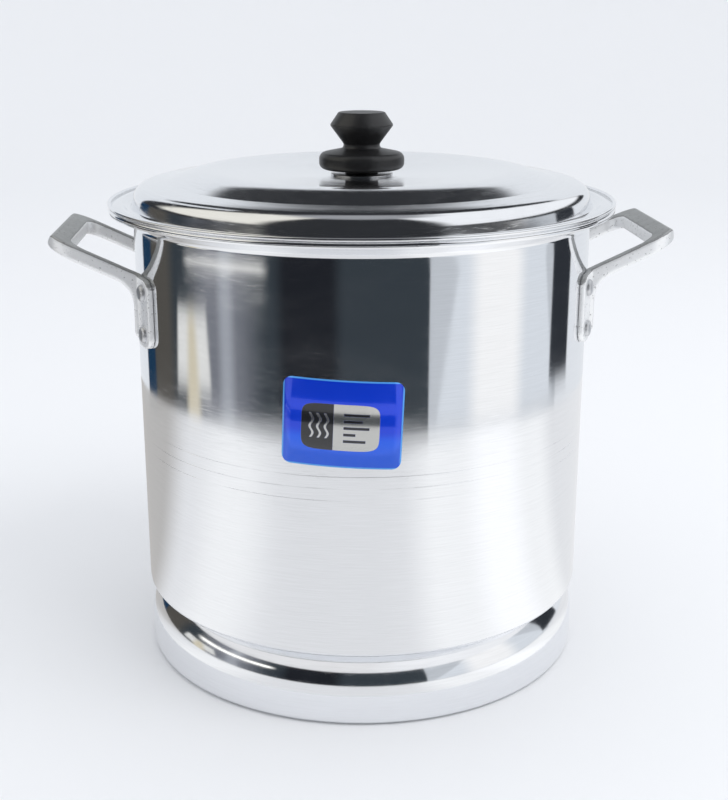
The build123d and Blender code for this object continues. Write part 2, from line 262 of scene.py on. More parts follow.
def draw_profile(shape, path, run=RUN, facet=FACET):
    """A chain of edges through path, a list of (radius, height, corner radius)."""
    tip = shape.verts.new((path[0][0], 0, path[0][1]))
    for before, corner, after in zip(path, path[1:], path[2:]):
        heading = (Vector(corner[:2]) - Vector(before[:2])).normalized()
        next_heading = (Vector(after[:2]) - Vector(corner[:2])).normalized()
        turn = -heading.angle_signed(next_heading)
        setback = corner[2] * tan(abs(turn) / 2)
        tip = walk_to(shape, tip, Vector(corner[:2]) - heading * setback, run)
        if corner[2] > 0:
            side = 1 if turn > 0 else -1
            sideways = Vector((-heading.y, heading.x)) * side * corner[2]
            centre = (tip.co.x + sideways.x, 0, tip.co.z + sideways.y)
            steps = max(3, ceil(abs(turn) * sqrt(corner[2] / (8 * facet))))
            arc = bmesh.ops.spin(shape, geom=[tip], cent=centre, axis=(0, -1, 0), angle=turn,
                                 steps=steps)
            tip = arc["geom_last"][0]
    walk_to(shape, tip, path[-1][:2], run)


# %% Turning it
def turn_round(shape, steps):
    """Spins every profile in the shape round the Z axis, and closes the seam and the poles."""
    bmesh.ops.spin(shape, geom=shape.verts[:] + shape.edges[:], cent=(0, 0, 0), axis=(0, 0, 1),
                   angle=2 * pi, steps=steps, use_merge=True)
    bmesh.ops.remove_doubles(shape, verts=shape.verts[:], dist=0.0005 * MM)
    bmesh.ops.recalc_face_normals(shape, faces=shape.faces[:])


def turned_surface(path, steps):
    """A surface of revolution. It is closed where its outline starts and ends on the axis."""
    shape = bmesh.new()
    draw_profile(shape, path)
    turn_round(shape, steps)
    return shape


def face_away(shape, behind):
    """Turns the faces of an open sheet away from a point behind it."""
    outlook = 0
    for face in shape.faces:
        outlook += face.normal.dot(face.calc_center_median() - Vector(behind)) * face.calc_area()
    if outlook < 0:
        bmesh.ops.reverse_faces(shape, faces=shape.faces[:])


def turned_sheet(path, gauge, steps, behind):
    """A sheet of revolution: its outline is the face that looks away from the point behind."""
    shape = turned_surface(path, steps)
    face_away(shape, behind)
    bmesh.ops.solidify(shape, geom=shape.faces[:], thickness=gauge)
    return shape


def add_ring(shape, radius, height, thickness, steps, sides=20):
    """Adds a round ring, such as a rolled edge, centred on a circle of this radius and height."""
    ring = bmesh.new()
    upright = Matrix.Translation((radius, 0, height)) @ Matrix.Rotation(pi / 2, 4, "X")
    bmesh.ops.create_circle(ring, segments=sides, radius=thickness, matrix=upright)
    turn_round(ring, steps)
    spare = bpy.data.meshes.new("ring")
    ring.to_mesh(spare)
    ring.free()
    shape.from_mesh(spare)
    bpy.data.meshes.remove(spare)


# %% Keeping and dressing a piece
def keep(name, shape):
    """Turns a bmesh into an object in the scene."""
    mesh = bpy.data.meshes.new(name)
    shape.to_mesh(mesh)
    shape.free()
    piece = bpy.data.objects.new(name, mesh)
    bpy.context.scene.collection.objects.link(piece)
    return piece


def dress(piece, finish, smooth=True):
    """Gives a piece one finish all over."""
    piece.data.materials.clear()
    piece.data.materials.append(finish.material)
    if smooth:
        piece.data.shade_smooth()
    return piece


print("profile tools are ready")

# %% [markdown]
# ## The studio
#
# The floor is a wide pale dish: flat round the pot, then curving up on every side, so that no
# horizon shows from any angle. The sky is even and faintly blue, and one large soft lamp gives the
# pot a gentle shadow.

# %% Floor, sky and lamp
FLOOR_FLAT = 3.6                # metres from the pot out to the corner that the curve rounds
FLOOR_CURVE = 1.6               # radius of that curve
FLOOR_EDGE = (4.6, 2.4)         # radius and height of the dish's edge
FLOOR_FACET = 2 * MM
FLOOR_STEPS = 96
SKY_COLOUR = (0.90, 0.92, 0.955)

floor_shape = bmesh.new()
floor_path = [(0, 0, 0), (FLOOR_FLAT, 0, FLOOR_CURVE), (*FLOOR_EDGE, 0)]
draw_profile(floor_shape, floor_path, 1.0, FLOOR_FACET)
turn_round(floor_shape, FLOOR_STEPS)
face_away(floor_shape, (0, 0, -50))
floor_paint = Finish("floor_paint", Roughness=0.9)
floor_paint.shader.inputs["Base Color"].default_value = (0.86, 0.865, 0.875, 1)
floor_paint.shader.inputs["Specular IOR Level"].default_value = 0.0
floor = dress(keep("floor", floor_shape), floor_paint)

sky = bpy.data.worlds.new("sky")
bpy.context.scene.world = sky
sky.use_nodes = True
sky.node_tree.nodes["Background"].inputs["Color"].default_value = (*SKY_COLOUR, 1)
sky.node_tree.nodes["Background"].inputs["Strength"].default_value = 1.1

lamp = bpy.data.objects.new("soft_lamp", bpy.data.lights.new("soft_lamp", "AREA"))
lamp.data.shape = "RECTANGLE"
lamp.data.size = 1.6
lamp.data.size_y = 1.2
lamp.data.energy = 14.0
lamp.location = (1.2, -0.9, 2.0)
lamp.rotation_euler = (-lamp.location).to_track_quat("-Z", "Y").to_euler()
lamp.visible_glossy = False
bpy.context.scene.collection.objects.link(lamp)
print("floor, sky and one lamp")

# %% [markdown]
# Polished metal has hardly any colour of its own: what it shows is the room. A pale floor and an
# even sky would leave the pot without a shape, so a photographer stands dark flags and bright
# panels just outside the picture. Here they hang on one round screen that only shiny surfaces see:
# the camera looks through it, and it casts no shadow.
#
# The screen is painted by two measurements, the bearing round the pot and the height. Bearing 0 is
# straight towards the camera, and positive bearings go to its right. The wall of a round pot shows
# a panel at about half its bearing. Each panel covers the ones hung before it.
#
# The slope under the waist looks up, into the dark room over the windows. A level ring of light just
# below the lid brightens that slope. The rolled edges, the rivets and the label catch some of it
# too, and the wall and the lid's crown hardly any.

# %% A glow that is painted by bearing and height
class Glow(Finish):
    """A surface that gives off light, painted panel by panel."""

    def __init__(self, name, paint):
        super().__init__(name, Roughness=1.0, Emission_Strength=1.0, Specular_IOR_Level=0.0)
        self.shader.inputs["Base Color"].default_value = (0, 0, 0, 1)
        x, y, z = self.place()
        self.bearing = self.maths("ARCTAN2", x, 0 - y) * degrees(1) + degrees(CAMERA_TURN)
        self.height = z * 1000
        self.picture = (*paint, 1)

    def hang(self, bearings, heights, paint, soft=1.0, soft_height=8.0, lean=0.0):
        """Covers a panel: degrees, millimetres, and degrees of lean for each 100 mm of height."""
        left = self.height * (lean / 100) + bearings[0]
        right = bearings[1] - self.height * (lean / 100)
        panel = self.between(self.bearing, left, right, soft)
        panel = panel * self.between(self.height, *heights, soft_height)
        self.picture = self.blend(panel, self.picture, (*paint, 1))

    def show(self):
        self.drive("Emission Color", self.picture)


def show_only_to_metal(piece):
    """Hides a piece of the stage from everything but reflections."""
    piece.visible_camera = False
    piece.visible_diffuse = False
    piece.visible_shadow = False
    piece.visible_transmission = False
    piece.visible_volume_scatter = False


# %% The screen round the pot
SCREEN_RADIUS = 715 * MM
SCREEN_TOP = 1250 * MM
SCREEN_STEPS = 120
ALL_ROUND = (-200, 200)
TALL = (-90, 2000)
LINTEL = 415                    # top of the tall window, in millimetres like every height here
HIGH_SILL = 505                 # foot of the windows near the ceiling
FAR_TOP = 700                   # top of the pale backdrop behind the pot
HIGH_LEFT = (-112, -46)
HIGH_RIGHT = (38, 140)
UPPER_DARK = (0.030, 0.032, 0.036)
WARM = (0.88, 0.86, 0.79)
COOL = (0.95, 0.97, 1.0)

room = Glow("room_screen", (0.80, 0.83, 0.87))
room.hang((-128, 29.5), TALL, (0.038, 0.048, 0.058), 0.8)             # the dark room
room.hang((-36, -10), TALL, (0.014, 0.016, 0.021), 4.0)               # its darkest part
room.hang((-80, -50), TALL, (0.19, 0.20, 0.23), 10.0)                 # a grey side wall
room.hang((-66, -59), TALL, (0.36, 0.38, 0.42), 3.0)
room.hang((-118, -98), TALL, (0.085, 0.080, 0.072), 5.0)
room.hang((-128, -117), TALL, (0.012, 0.040, 0.085), 0.8)
room.hang((-96, -71), (30, 118), (0.80, 0.80, 0.78), 1.2, 10.0, 2.5)  # a low window
room.hang((-88, -79), (-90, 112), (0.66, 0.60, 0.46), 2.5, 16.0, 2.0)
room.hang((-86, -42), (174, 222), (1.55, 1.53, 1.46), 3.0, 5.0)       # a lamp above it
room.hang((29.5, 104), TALL, (0.56, 0.59, 0.63), 0.7)                 # a tall bright window
room.hang((32, 102), (12, 2000), (0.74, 0.78, 0.83), 1.2, 8.0, 6.0)
room.hang((50, 76), (6, 2000), (1.0, 1.0, 1.0), 5.0, 8.0)
room.hang((98, 115), (30, 420), (0.028, 0.032, 0.040), 0.8, 14.0)     # a dark door frame
room.hang((158, 181), (-90, 240), (0.10, 0.11, 0.13), 4.0, 30.0)      # behind the pot
room.hang((-128, 140), (LINTEL, 2000), UPPER_DARK, 1.0, 12.0)          # the room above the windows
room.hang(HIGH_LEFT, (HIGH_SILL, 2000), WARM, 6.0, 30.0)              # two windows near the ceiling
room.hang(HIGH_RIGHT, (HIGH_SILL, 2000), COOL, 6.0, 30.0)
room.hang((140, 200), (FAR_TOP, 2000), UPPER_DARK, 1.0, 40.0)         # dark above the backdrop
room.hang((-200, -140), (FAR_TOP, 2000), UPPER_DARK, 1.0, 40.0)
room.show()

screen_shape = bmesh.new()
draw_profile(screen_shape, [(SCREEN_RADIUS, 0, 0), (SCREEN_RADIUS, SCREEN_TOP, 0)], SCREEN_TOP)
turn_round(screen_shape, SCREEN_STEPS)
show_only_to_metal(dress(keep("room_screen", screen_shape), room, smooth=False))
print("a painted screen, top at", SCREEN_TOP)

# %% A ceiling, and a table top that the metal sees
CEILING_HEIGHT = SCREEN_TOP + 20 * MM
GREY_MIDDLE = (-900, 330)       # on the ceiling the second measure is the distance from the axis
TABLE_EDGES = (190 * MM, 712 * MM)
TABLE_HEIGHT = 1 * MM

ceiling = Glow("room_ceiling", UPPER_DARK)
ceiling.hang(HIGH_LEFT, TALL, WARM, 6.0)
ceiling.hang(HIGH_RIGHT, TALL, COOL, 6.0)
ceiling.height = ceiling.from_axis(*ceiling.place()[:2]) * 1000
ceiling.hang(ALL_ROUND, GREY_MIDDLE, (0.34, 0.35, 0.37), 1.0, 120.0)
ceiling.show()
ceiling_shape = bmesh.new()
bmesh.ops.create_grid(ceiling_shape, x_segments=1, y_segments=1, size=SCREEN_TOP)
bmesh.ops.translate(ceiling_shape, verts=ceiling_shape.verts, vec=(0, 0, CEILING_HEIGHT))
show_only_to_metal(dress(keep("room_ceiling", ceiling_shape), ceiling, smooth=False))

table = Glow("table_top", (0.84, 0.85, 0.87))
table.hang((-200, -96), TALL, (0.52, 0.51, 0.50), 12.0)
table.hang((-74, -44), TALL, (0.98, 0.99, 1.0), 12.0)
table.hang((-34, 14), TALL, (0.80, 0.81, 0.83), 10.0)
table.hang((24, 96), TALL, (1.0, 1.01, 1.02), 8.0)
table.hang((50, 74), TALL, (1.12, 1.13, 1.15), 8.0)
table.show()
table_shape = bmesh.new()
draw_profile(table_shape, [(edge, TABLE_HEIGHT, 0) for edge in TABLE_EDGES], SCREEN_TOP)
turn_round(table_shape, SCREEN_STEPS)
face_away(table_shape, (0, 0, -1))
show_only_to_metal(dress(keep("table_top", table_shape), table, smooth=False))
print("a ceiling and a table top")

# %% A light shelf below the lid
SHELF_HEIGHT = 290 * MM
SHELF_EDGES = (255 * MM, 640 * MM)

shelf = Glow("light_shelf", (0.84, 0.84, 0.85))
shelf.hang((10, 110), TALL, (0.95, 0.96, 0.98), 12.0)
shelf.show()
shelf_shape = bmesh.new()
draw_profile(shelf_shape, [(edge, SHELF_HEIGHT, 0) for edge in SHELF_EDGES], SCREEN_TOP)
turn_round(shelf_shape, SCREEN_STEPS)
face_away(shelf_shape, (0, 0, 1))
show_only_to_metal(dress(keep("light_shelf", shelf_shape), shelf, smooth=False))
print("a light shelf at", SHELF_HEIGHT)

# %% [markdown]
# ## Turned and polished aluminium
#
# The polisher runs a wheel along the wall while the pot turns, and leaves thousands of fine lines
# round it. They scatter light up and down but hardly sideways, so reflections stay sharp from left
# to right and smear vertically. The shader's anisotropy does most of that, and a bump of real lines
# does the rest.
#
# The lines follow the turning, not the X, Y and Z of the piece, so the noise is read at the
# direction round the axis, squeezed small, and at the distance across the lines, stretched large.

# %% Turned metal
LINE_PITCH = 0.5 * MM           # spacing of the finest polishing lines
STROKE_PITCH = 0.9 * MM         # width of the short strokes where the polish is coarser
BAND_PITCH = 6 * MM             # spacing of the broad, soft marks of the spinning roller
SMEAR_PITCH = 22 * MM           # height of the clouds of finer and coarser polish


def around(finish):
    """Two wires for the direction round the axis, one for the way across the lines, and the height."""
    x, y, z = finish.place()
    radius = finish.from_axis(x, y)
    return x / radius, y / radius, radius + z, z


def turned_metal(name, colour, roughness, streaks, line_depth, band_depth, scratches=()):
    """Aluminium with polishing lines round its axis, rougher streaks, and worn rings at some heights."""
    finish = Finish(name, Metallic=1.0, Anisotropic=0.8, Anisotropic_Rotation=0.25)
    dx, dy, across, z = around(finish)
    lines = finish.noise(finish.join(dx * 6, dy * 6, across / LINE_PITCH), 1.0, 2.0, 0.7)
    bands = finish.noise(finish.join(dx * 0.8, dy * 0.8, across / BAND_PITCH), 1.0, 2.0, 0.5)
    smears = finish.noise(finish.join(dx * 2.5, dy * 2.5, across / SMEAR_PITCH), 1.0, 3.0, 0.6)
    strokes = finish.noise(finish.join(dx * 14, dy * 14, across / STROKE_PITCH), 1.0, 3.0, 0.65)
    strokes = finish.ramp(strokes, 0.50, 0.80)
    worn = 0
    for scratch in scratches:
        worn = worn + finish.between(z * 1000, scratch - 0.25, scratch + 0.25, 0.15)
    worn = worn * finish.ramp(smears, 0.30, 0.60)
    rough = roughness + strokes * streaks + finish.ramp(smears, 0.35, 0.75) * 0.04
    finish.drive("Roughness", rough + worn * 0.25)
    shade = finish.ramp(lines, 0.25, 0.75)
    dark = tuple(0.95 * c for c in colour) + (1,)
    finish.drive("Base Color", finish.blend(shade, dark, (*colour, 1)))
    finish.raise_surface(lines * (line_depth / band_depth) + bands, band_depth)
    return finish


ALUMINIUM = (0.90, 0.91, 0.93)
WORN_RINGS = (165, 157.5, 150)  # heights in millimetres of the marks that use has left
wall_metal = turned_metal("polished_wall", ALUMINIUM, 0.065, 0.05, 0.0004 * MM, 0.005 * MM, WORN_RINGS)
lid_metal = turned_metal("polished_lid", ALUMINIUM, 0.09, 0.12, 0.0006 * MM, 0.005 * MM)
rack_metal = turned_metal("rolled_sheet", (0.80, 0.81, 0.83), 0.30, 0.10, 0.002 * MM, 0.004 * MM)
print("three turned metals")

# %% [markdown]
# ## The pot
#
# The body is one sheet, 2 mm thick. From the middle of the base it runs out to a rounded corner,
# up a short straight band, in along a bulge to the waist groove, out again along the ledge that
# carries the steamer rack, up the wall, and out through a flare to the rolled rim.
#
# The rim and the height come from the frame, and so does everything that is measured from them.

# %% Pot body
pot_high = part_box("pot_shell")[1]
RIM_RADIUS = pot_high.x
RIM_TOP = pot_high.z
POT_GAUGE = 2 * MM
POT_RADIUS = RIM_RADIUS - 15.6 * MM
RIM_BEAD = 2.3 * MM             # radius of the rolled edge
MOUTH_HEIGHT = RIM_TOP - POT_GAUGE
NECK_HEIGHT = MOUTH_HEIGHT - 8.2 * MM
FLARE_REACH = 9.6 * MM
BAND_RADIUS = POT_RADIUS - 0.5 * MM
BAND_STRAIGHT = 20 * MM
BAND_BULGE = 32 * MM
BAND_LEAN = radians(47)
LEDGE_HEIGHT = 47.5 * MM
POT_STEPS = 288

bulge_tangent = BAND_BULGE * tan(BAND_LEAN / 2)
groove_radius = BAND_RADIUS - (LEDGE_HEIGHT - BAND_STRAIGHT - bulge_tangent) * tan(BAND_LEAN)
pot_shape = turned_sheet([
    (0, 0, 0),
    (BAND_RADIUS, 0, 5 * MM),
    (BAND_RADIUS, BAND_STRAIGHT + bulge_tangent, BAND_BULGE),
    (groove_radius, LEDGE_HEIGHT, 2.2 * MM),
    (POT_RADIUS, LEDGE_HEIGHT, 2.8 * MM),
    (POT_RADIUS, NECK_HEIGHT, 5 * MM),
    (POT_RADIUS + FLARE_REACH, MOUTH_HEIGHT, 1.2 * MM),
    (RIM_RADIUS - RIM_BEAD, MOUTH_HEIGHT, 0),
], POT_GAUGE, POT_STEPS, behind=(0, 0, NECK_HEIGHT / 2))
add_ring(pot_shape, RIM_RADIUS - RIM_BEAD, RIM_TOP - RIM_BEAD, RIM_BEAD, POT_STEPS)
pot_body = dress(keep("pot_body", pot_shape), wall_metal)
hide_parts("pot_shell")
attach(pot_body, "pot")
print("pot body:", len(pot_body.data.polygons), "faces")

# %% [markdown]
# ## The lid
#
# The lid is a thinner sheet. Its flange lies on the rim, a groove drops into the mouth and centres
# it, and the crown rises from the groove to a raised panel with a shallow dish, where the knob
# sits. The chain is drawn along the top face, so the thickness goes downwards.

# %% Lid
lid_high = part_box("lid_shell")[1]
LID_GAUGE = 1.3 * MM
LID_RADIUS = lid_high.x
LID_HEM = 1.2 * MM              # radius of the folded edge
FLANGE_TOP = RIM_TOP + LID_GAUGE
SEAT_TOP = FLANGE_TOP + 15.1 * MM
SCREW_HOLE = 2.8 * MM
CROWN_LEAN = radians(12)
PLUG_DEPTH = 4.9 * MM
PLUG_GAP = 0.9 * MM             # between the groove and the pot's flare
SHOULDER_RISE = 10.2 * MM       # each rise is above the flange
SHOULDER_WIDTH = 20 * MM        # from the crown's corner in to the foot of the panel
PANEL_RISE = 13.3 * MM
PANEL_SLOPE_WIDTH = 23.5 * MM
CREST_RISE = 20.1 * MM
CROWN_CORNER = 10 * MM
SEAT_RADIUS = 28 * MM           # the flat seat of the knob

flare_angle = atan2(MOUTH_HEIGHT - NECK_HEIGHT, FLARE_REACH)
plug_offset = POT_GAUGE + PLUG_GAP + LID_GAUGE


def beside_flare(height):
    """Radius at which the groove's outer side, parallel to the pot's flare, has this height."""
    climb = height - NECK_HEIGHT - plug_offset * cos(flare_angle)
    return POT_RADIUS + climb / tan(flare_angle) - plug_offset * sin(flare_angle)


shoulder = FLANGE_TOP + SHOULDER_RISE
plug_bottom = FLANGE_TOP - PLUG_DEPTH
plug_radius = beside_flare(plug_bottom)
crown_radius = plug_radius - (shoulder - plug_bottom) * tan(CROWN_LEAN)
panel_radius = crown_radius - SHOULDER_WIDTH
crest_radius = panel_radius - PANEL_SLOPE_WIDTH
lid_shape = turned_sheet([
    (SCREW_HOLE, SEAT_TOP, 0),
    (SEAT_RADIUS, SEAT_TOP, 40 * MM),
    (crest_radius, FLANGE_TOP + CREST_RISE, 60 * MM),
    (panel_radius, FLANGE_TOP + PANEL_RISE, 5 * MM),
    (crown_radius, shoulder, CROWN_CORNER),
    (plug_radius, plug_bottom, 2 * MM),
    (beside_flare(FLANGE_TOP), FLANGE_TOP, 1.6 * MM),
    (LID_RADIUS - LID_HEM, FLANGE_TOP, 0),
], LID_GAUGE, POT_STEPS, behind=(0, 0, -1))
add_ring(lid_shape, LID_RADIUS - LID_HEM, RIM_TOP + LID_HEM, LID_HEM, POT_STEPS, 14)
lid_skin = dress(keep("lid_skin", lid_shape), lid_metal)
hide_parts("lid_shell")
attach(lid_skin, "lid")
print("lid:", len(lid_skin.data.polygons), "faces")

# %% [markdown]
# ## The knob
#
# The knob is moulded in black phenolic, a hard plastic that stays cool. A wide disc under the grip
# keeps fingers off the hot lid. Phenolic has a satin skin with a faint orange-peel texture, and a
# little pale dust.

# %% Knob
knob_low, knob_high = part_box("lid_knob")
KNOB_BASE = knob_low.z
KNOB_TOP = knob_high.z
GUARD_RADIUS = knob_high.x
KNOB_STEPS = 144
COLLAR_RADIUS = 10.9 * MM       # the short foot that stands on the washer
STEM_RADIUS = 10.1 * MM
GRIP_RADIUS = 20.8 * MM
CAP_RADIUS = 15.2 * MM
COLLAR_RISE = 1.8 * MM          # each rise is above the foot of the knob
GUARD_FOOT_RISE = 3 * MM
GUARD_RISE = 12.8 * MM
STEM_RISE = 16.6 * MM
GRIP_RISE = 31 * MM

knob_shape = turned_surface([
    (0, KNOB_BASE, 0),
    (COLLAR_RADIUS, KNOB_BASE, 0.4 * MM),
    (COLLAR_RADIUS, KNOB_BASE + COLLAR_RISE, 0.6 * MM),
    (GUARD_RADIUS, KNOB_BASE + GUARD_FOOT_RISE, 4 * MM),
    (GUARD_RADIUS, KNOB_BASE + GUARD_RISE, 4.4 * MM),
    (STEM_RADIUS, KNOB_BASE + STEM_RISE, 2.5 * MM),
    (GRIP_RADIUS, KNOB_BASE + GRIP_RISE, 1.4 * MM),
    (CAP_RADIUS, KNOB_TOP, 1.4 * MM),
    (0, KNOB_TOP, 0),
], KNOB_STEPS)

phenolic = Finish("black_phenolic", IOR=1.55, Coat_Roughness=0.25)
px, py, pz = phenolic.place()
where = phenolic.join(px, py, pz)
peel = phenolic.noise(where, 900.0, 2.0)
dust = phenolic.ramp(phenolic.noise(where, 140.0, 6.0, 0.7), 0.52, 0.75)
phenolic.drive("Base Color", phenolic.blend(dust * 0.5, (0.010, 0.010, 0.011, 1), (0.035, 0.035, 0.036, 1)))
phenolic.drive("Roughness", 0.33 + peel * 0.10 + dust * 0.08)
phenolic.raise_surface(peel, 0.02 * MM)
knob = dress(keep("knob", knob_shape), phenolic)
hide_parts("lid_knob")
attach(knob, "lid")
print("knob:", len(knob.data.polygons), "faces")

# %% [markdown]
# ## Washers and the screw
#
# A bright washer spreads the knob's load over the thin lid. It shows as a ring under the guard, so
# it gets rounded edges that catch the light. The lock washer and the screw's head sit under the
# lid, where they are seen when it is lifted.

# %% Washers
WASHER_EDGE = 0.3 * MM


def flat_ring(node, hole, edge, steps=96):
    """A washer the size of a CAD node, with rounded edges: its section is a rounded rectangle."""
    low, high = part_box(node)
    section = bmesh.new()
    middle = Matrix.Translation(((hole + high.x) / 2, 0, (low.z + high.z) / 2))
    size = Matrix.Diagonal((high.x - hole, 1, high.z - low.z, 1))
    lay = Matrix.Rotation(pi / 2, 4, "X")
    bmesh.ops.create_grid(section, x_segments=1, y_segments=1, size=0.5, matrix=middle @ size @ lay)
    bmesh.ops.bevel(section, geom=section.verts[:], offset=edge, offset_type="OFFSET", segments=4,
                    profile=0.5, affect="VERTICES", material=-1)
    bmesh.ops.delete(section, geom=section.faces[:], context="FACES_ONLY")
    turn_round(section, steps)
    return section


plated_steel = Finish("plated_steel", Metallic=1.0, Anisotropic=0.5, Anisotropic_Rotation=0.25)
sx, sy, s_across = around(plated_steel)[:3]
steel_lines = plated_steel.noise(plated_steel.join(sx * 3, sy * 3, s_across / (0.3 * MM)), 1.0, 2.0)
plated_steel.drive("Roughness", 0.16 + steel_lines * 0.16)
plated_steel.drive("Base Color", plated_steel.blend(
    steel_lines, (0.70, 0.70, 0.71, 1), (0.82, 0.82, 0.83, 1)))
plated_steel.raise_surface(steel_lines, 0.003 * MM)

seat_ring = dress(keep("seat_ring", flat_ring("seat_washer", SCREW_HOLE, WASHER_EDGE)), plated_steel)
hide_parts("seat_washer")
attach(seat_ring, "lid")
lock_ring = dress(keep("lock_ring", flat_ring("lock_washer", SCREW_HOLE, WASHER_EDGE)), plated_steel)
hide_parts("lock_washer")
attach(lock_ring, "lid")
dress(frame["nodes"]["knob_screw"], plated_steel, smooth=False)
print("two washers, and a finish for the screw")

# %% [markdown]
# ## The cast handles
#
# Each handle is one rough aluminium casting: a loop, two legs and two feet. Sand casting leaves a
# dull grain, rounded edges and small pits. Its colour carries painted shade: the faces that look up
# are painted darker than the sides, the sloping edges between them get a painted dark band, and the
# pits are painted dark. The engineer's handle has the right shape but crisp facets, so a copy of it
# is welded, remeshed into even small faces and softened, and then a little noise pushes the skin
# inwards, never out.

# %% Handles
CAST_VOXEL = 0.75 * MM
CAST_PITS = 0.16 * MM


def cast_copy(name, node):
    """A softened, slightly uneven copy of a CAD node."""
    shape = bmesh.new()
    shape.from_mesh(frame["nodes"][node].data)
    bmesh.ops.remove_doubles(shape, verts=shape.verts[:], dist=0.001 * MM)
    piece = keep(name, shape)
    remesh = piece.modifiers.new("even_faces", "REMESH")
    remesh.mode = "VOXEL"
    remesh.voxel_size = CAST_VOXEL
    soften = piece.modifiers.new("soften", "SMOOTH")
    soften.factor = 0.5
    soften.iterations = 4
    seen = bpy.context.evaluated_depsgraph_get()
    even = bpy.data.meshes.new_from_object(piece.evaluated_get(seen))
    piece.modifiers.clear()
    piece.data = even
    for point, normal in [(v, v.normal.copy()) for v in even.vertices]:
        dent = 0.5 + 0.5 * noise.noise(point.co * 260)
        grain = 0.5 + 0.5 * noise.noise(point.co * 900)
        point.co -= normal * CAST_PITS * (0.6 * dent + 0.4 * grain)
    return piece


# %% Cast metal
cast_metal = Finish("cast_aluminium")
cx, cy, cz = cast_metal.place()
c_where = cast_metal.join(cx, cy, cz)
c_facing = cast_metal.node("SeparateXYZ", inputs={
    "Vector": Wire(cast_metal, cast_metal.node("TexCoord").outputs["Normal"])})
c_grain = cast_metal.noise(c_where, 1500.0, 3.0, 0.65)
c_cloud = cast_metal.noise(c_where, 110.0, 5.0, 0.65)
c_pits = cast_metal.ramp(cast_metal.noise(c_where, 480.0, 3.0, 0.65), 0.58, 0.72)
# Painted shade: faces that look up get a darker colour than the sides and the undersides. The same mask
# makes them rougher and a little more metallic.
c_top_shade = cast_metal.ramp(Wire(cast_metal, c_facing.outputs["Z"]) + (c_cloud - 0.5) * 0.5, 0.25, 0.75)
side_tone = cast_metal.blend(c_cloud, (0.88, 0.89, 0.90, 1), (0.98, 0.98, 0.98, 1))
shaded_top = cast_metal.blend(c_cloud, (0.36, 0.37, 0.37, 1), (0.56, 0.57, 0.57, 1))
tone = cast_metal.blend(c_top_shade, side_tone, shaded_top)
# Painted shade: a dark band along the sloping edges between the sides and the tops.
c_edge_shade = cast_metal.between(
    Wire(cast_metal, c_facing.outputs["Z"]) + (c_cloud - 0.5) * 0.3, 0.42, 0.72, 0.10)
tone = cast_metal.blend(c_edge_shade * 0.6, tone, (0.16, 0.16, 0.16, 1))
# Painted shade: the pits are painted dark.
cast_metal.drive("Base Color", cast_metal.blend(c_pits * 0.65, tone, (0.18, 0.18, 0.18, 1)))
cast_metal.drive("Metallic", 0.55 + c_top_shade * 0.15)
cast_metal.drive("Roughness", 0.30 + c_grain * 0.14 + c_top_shade * 0.16 + c_pits * 0.2)
cast_metal.raise_surface(c_grain * 0.3 + (1 - c_pits) * 0.7, 0.10 * MM)

for side in ("right", "left"):
    casting = dress(cast_copy(side + "_casting", side + "_handle"), cast_metal)
    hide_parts(side + "_handle")
    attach(casting, "pot")
    print(casting.name, len(casting.data.polygons), "faces")

# %% [markdown]
# ## Rivets
#
# Two solid rivets hold each foot. The head is formed at the factory and stays domed and smooth; the
# tail is hammered flat inside the pot. One outline does for all eight, and each copy is turned to
# its place, which the engineer's rivet gives: its height is the middle of its box, and its bearing
# follows from the line that all the rivets share.

# %% Rivets
FOOT_RADIUS = POT_RADIUS + 3.5 * MM
RIVET_OFFSET = 61 * MM
RIVET_BEARING = asin(RIVET_OFFSET / FOOT_RADIUS)
RIVET_STEPS = 40
SHANK_RADIUS = 3 * MM
HEAD_RADIUS = 5.4 * MM
HEAD_RISE = 2.6 * MM
TAIL_RADIUS = 4.8 * MM
TAIL_RISE = 1.6 * MM
HEAD_SINK = 0.15 * MM           # how far the head sits in the face of the foot
TAIL_GAP = 0.08 * MM            # between the tail and the inside of the wall

under_head = FOOT_RADIUS - HEAD_SINK
tail_face = POT_RADIUS - POT_GAUGE - TAIL_GAP

rivet_metal = Finish("rivet_metal", Metallic=1.0)
rx, ry, rz = rivet_metal.place()
r_where = rivet_metal.join(rx, ry, rz)
r_cloud = rivet_metal.noise(r_where, 300.0, 3.0, 0.6)
r_grain = rivet_metal.noise(r_where, 1800.0, 2.0)
rivet_metal.drive("Base Color", rivet_metal.blend(r_cloud, (0.50, 0.51, 0.53, 1), (0.76, 0.77, 0.79, 1)))
rivet_metal.drive("Roughness", 0.30 + r_grain * 0.18)
rivet_metal.raise_surface(r_cloud * 0.6 + r_grain * 0.4, 0.05 * MM)

for side, opposite in (("right", 0.0), ("left", pi)):
    for end, turn in (("front", -1), ("rear", 1)):
        for level in ("upper", "lower"):
            node = f"rivet_{side}_{end}_{level}"
            low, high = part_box(node)
            shape = turned_surface([
                (0, tail_face - TAIL_RISE, 0),
                (TAIL_RADIUS, tail_face - TAIL_RISE, 1.3 * MM),
                (TAIL_RADIUS, tail_face, 0),
                (SHANK_RADIUS, tail_face, 0),
                (SHANK_RADIUS, under_head, 0),
                (HEAD_RADIUS, under_head, 0.1 * MM),
                (HEAD_RADIUS, under_head + HEAD_RISE, 2.3 * MM),
                (0, under_head + HEAD_RISE, 0),
            ], RIVET_STEPS)
            bearing = opposite + turn * RIVET_BEARING * (1 if side == "right" else -1)
            aim = Matrix.Rotation(bearing, 4, "Z") @ Matrix.Rotation(pi / 2, 4, "Y")
            lift = Matrix.Translation((0, 0, (low.z + high.z) / 2))
            bmesh.ops.transform(shape, matrix=lift @ aim, verts=shape.verts[:])
            rivet = dress(keep(f"{side}_{end}_{level}_rivet", shape), rivet_metal)
            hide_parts(node)
            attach(rivet, "pot")
print("eight rivets")

# %% [markdown]
# ## The steamer rack
#
# The rack is punched from flat sheet, so the engineer's flat mesh already has the right shape. It
# keeps its mesh and only gets a metal.

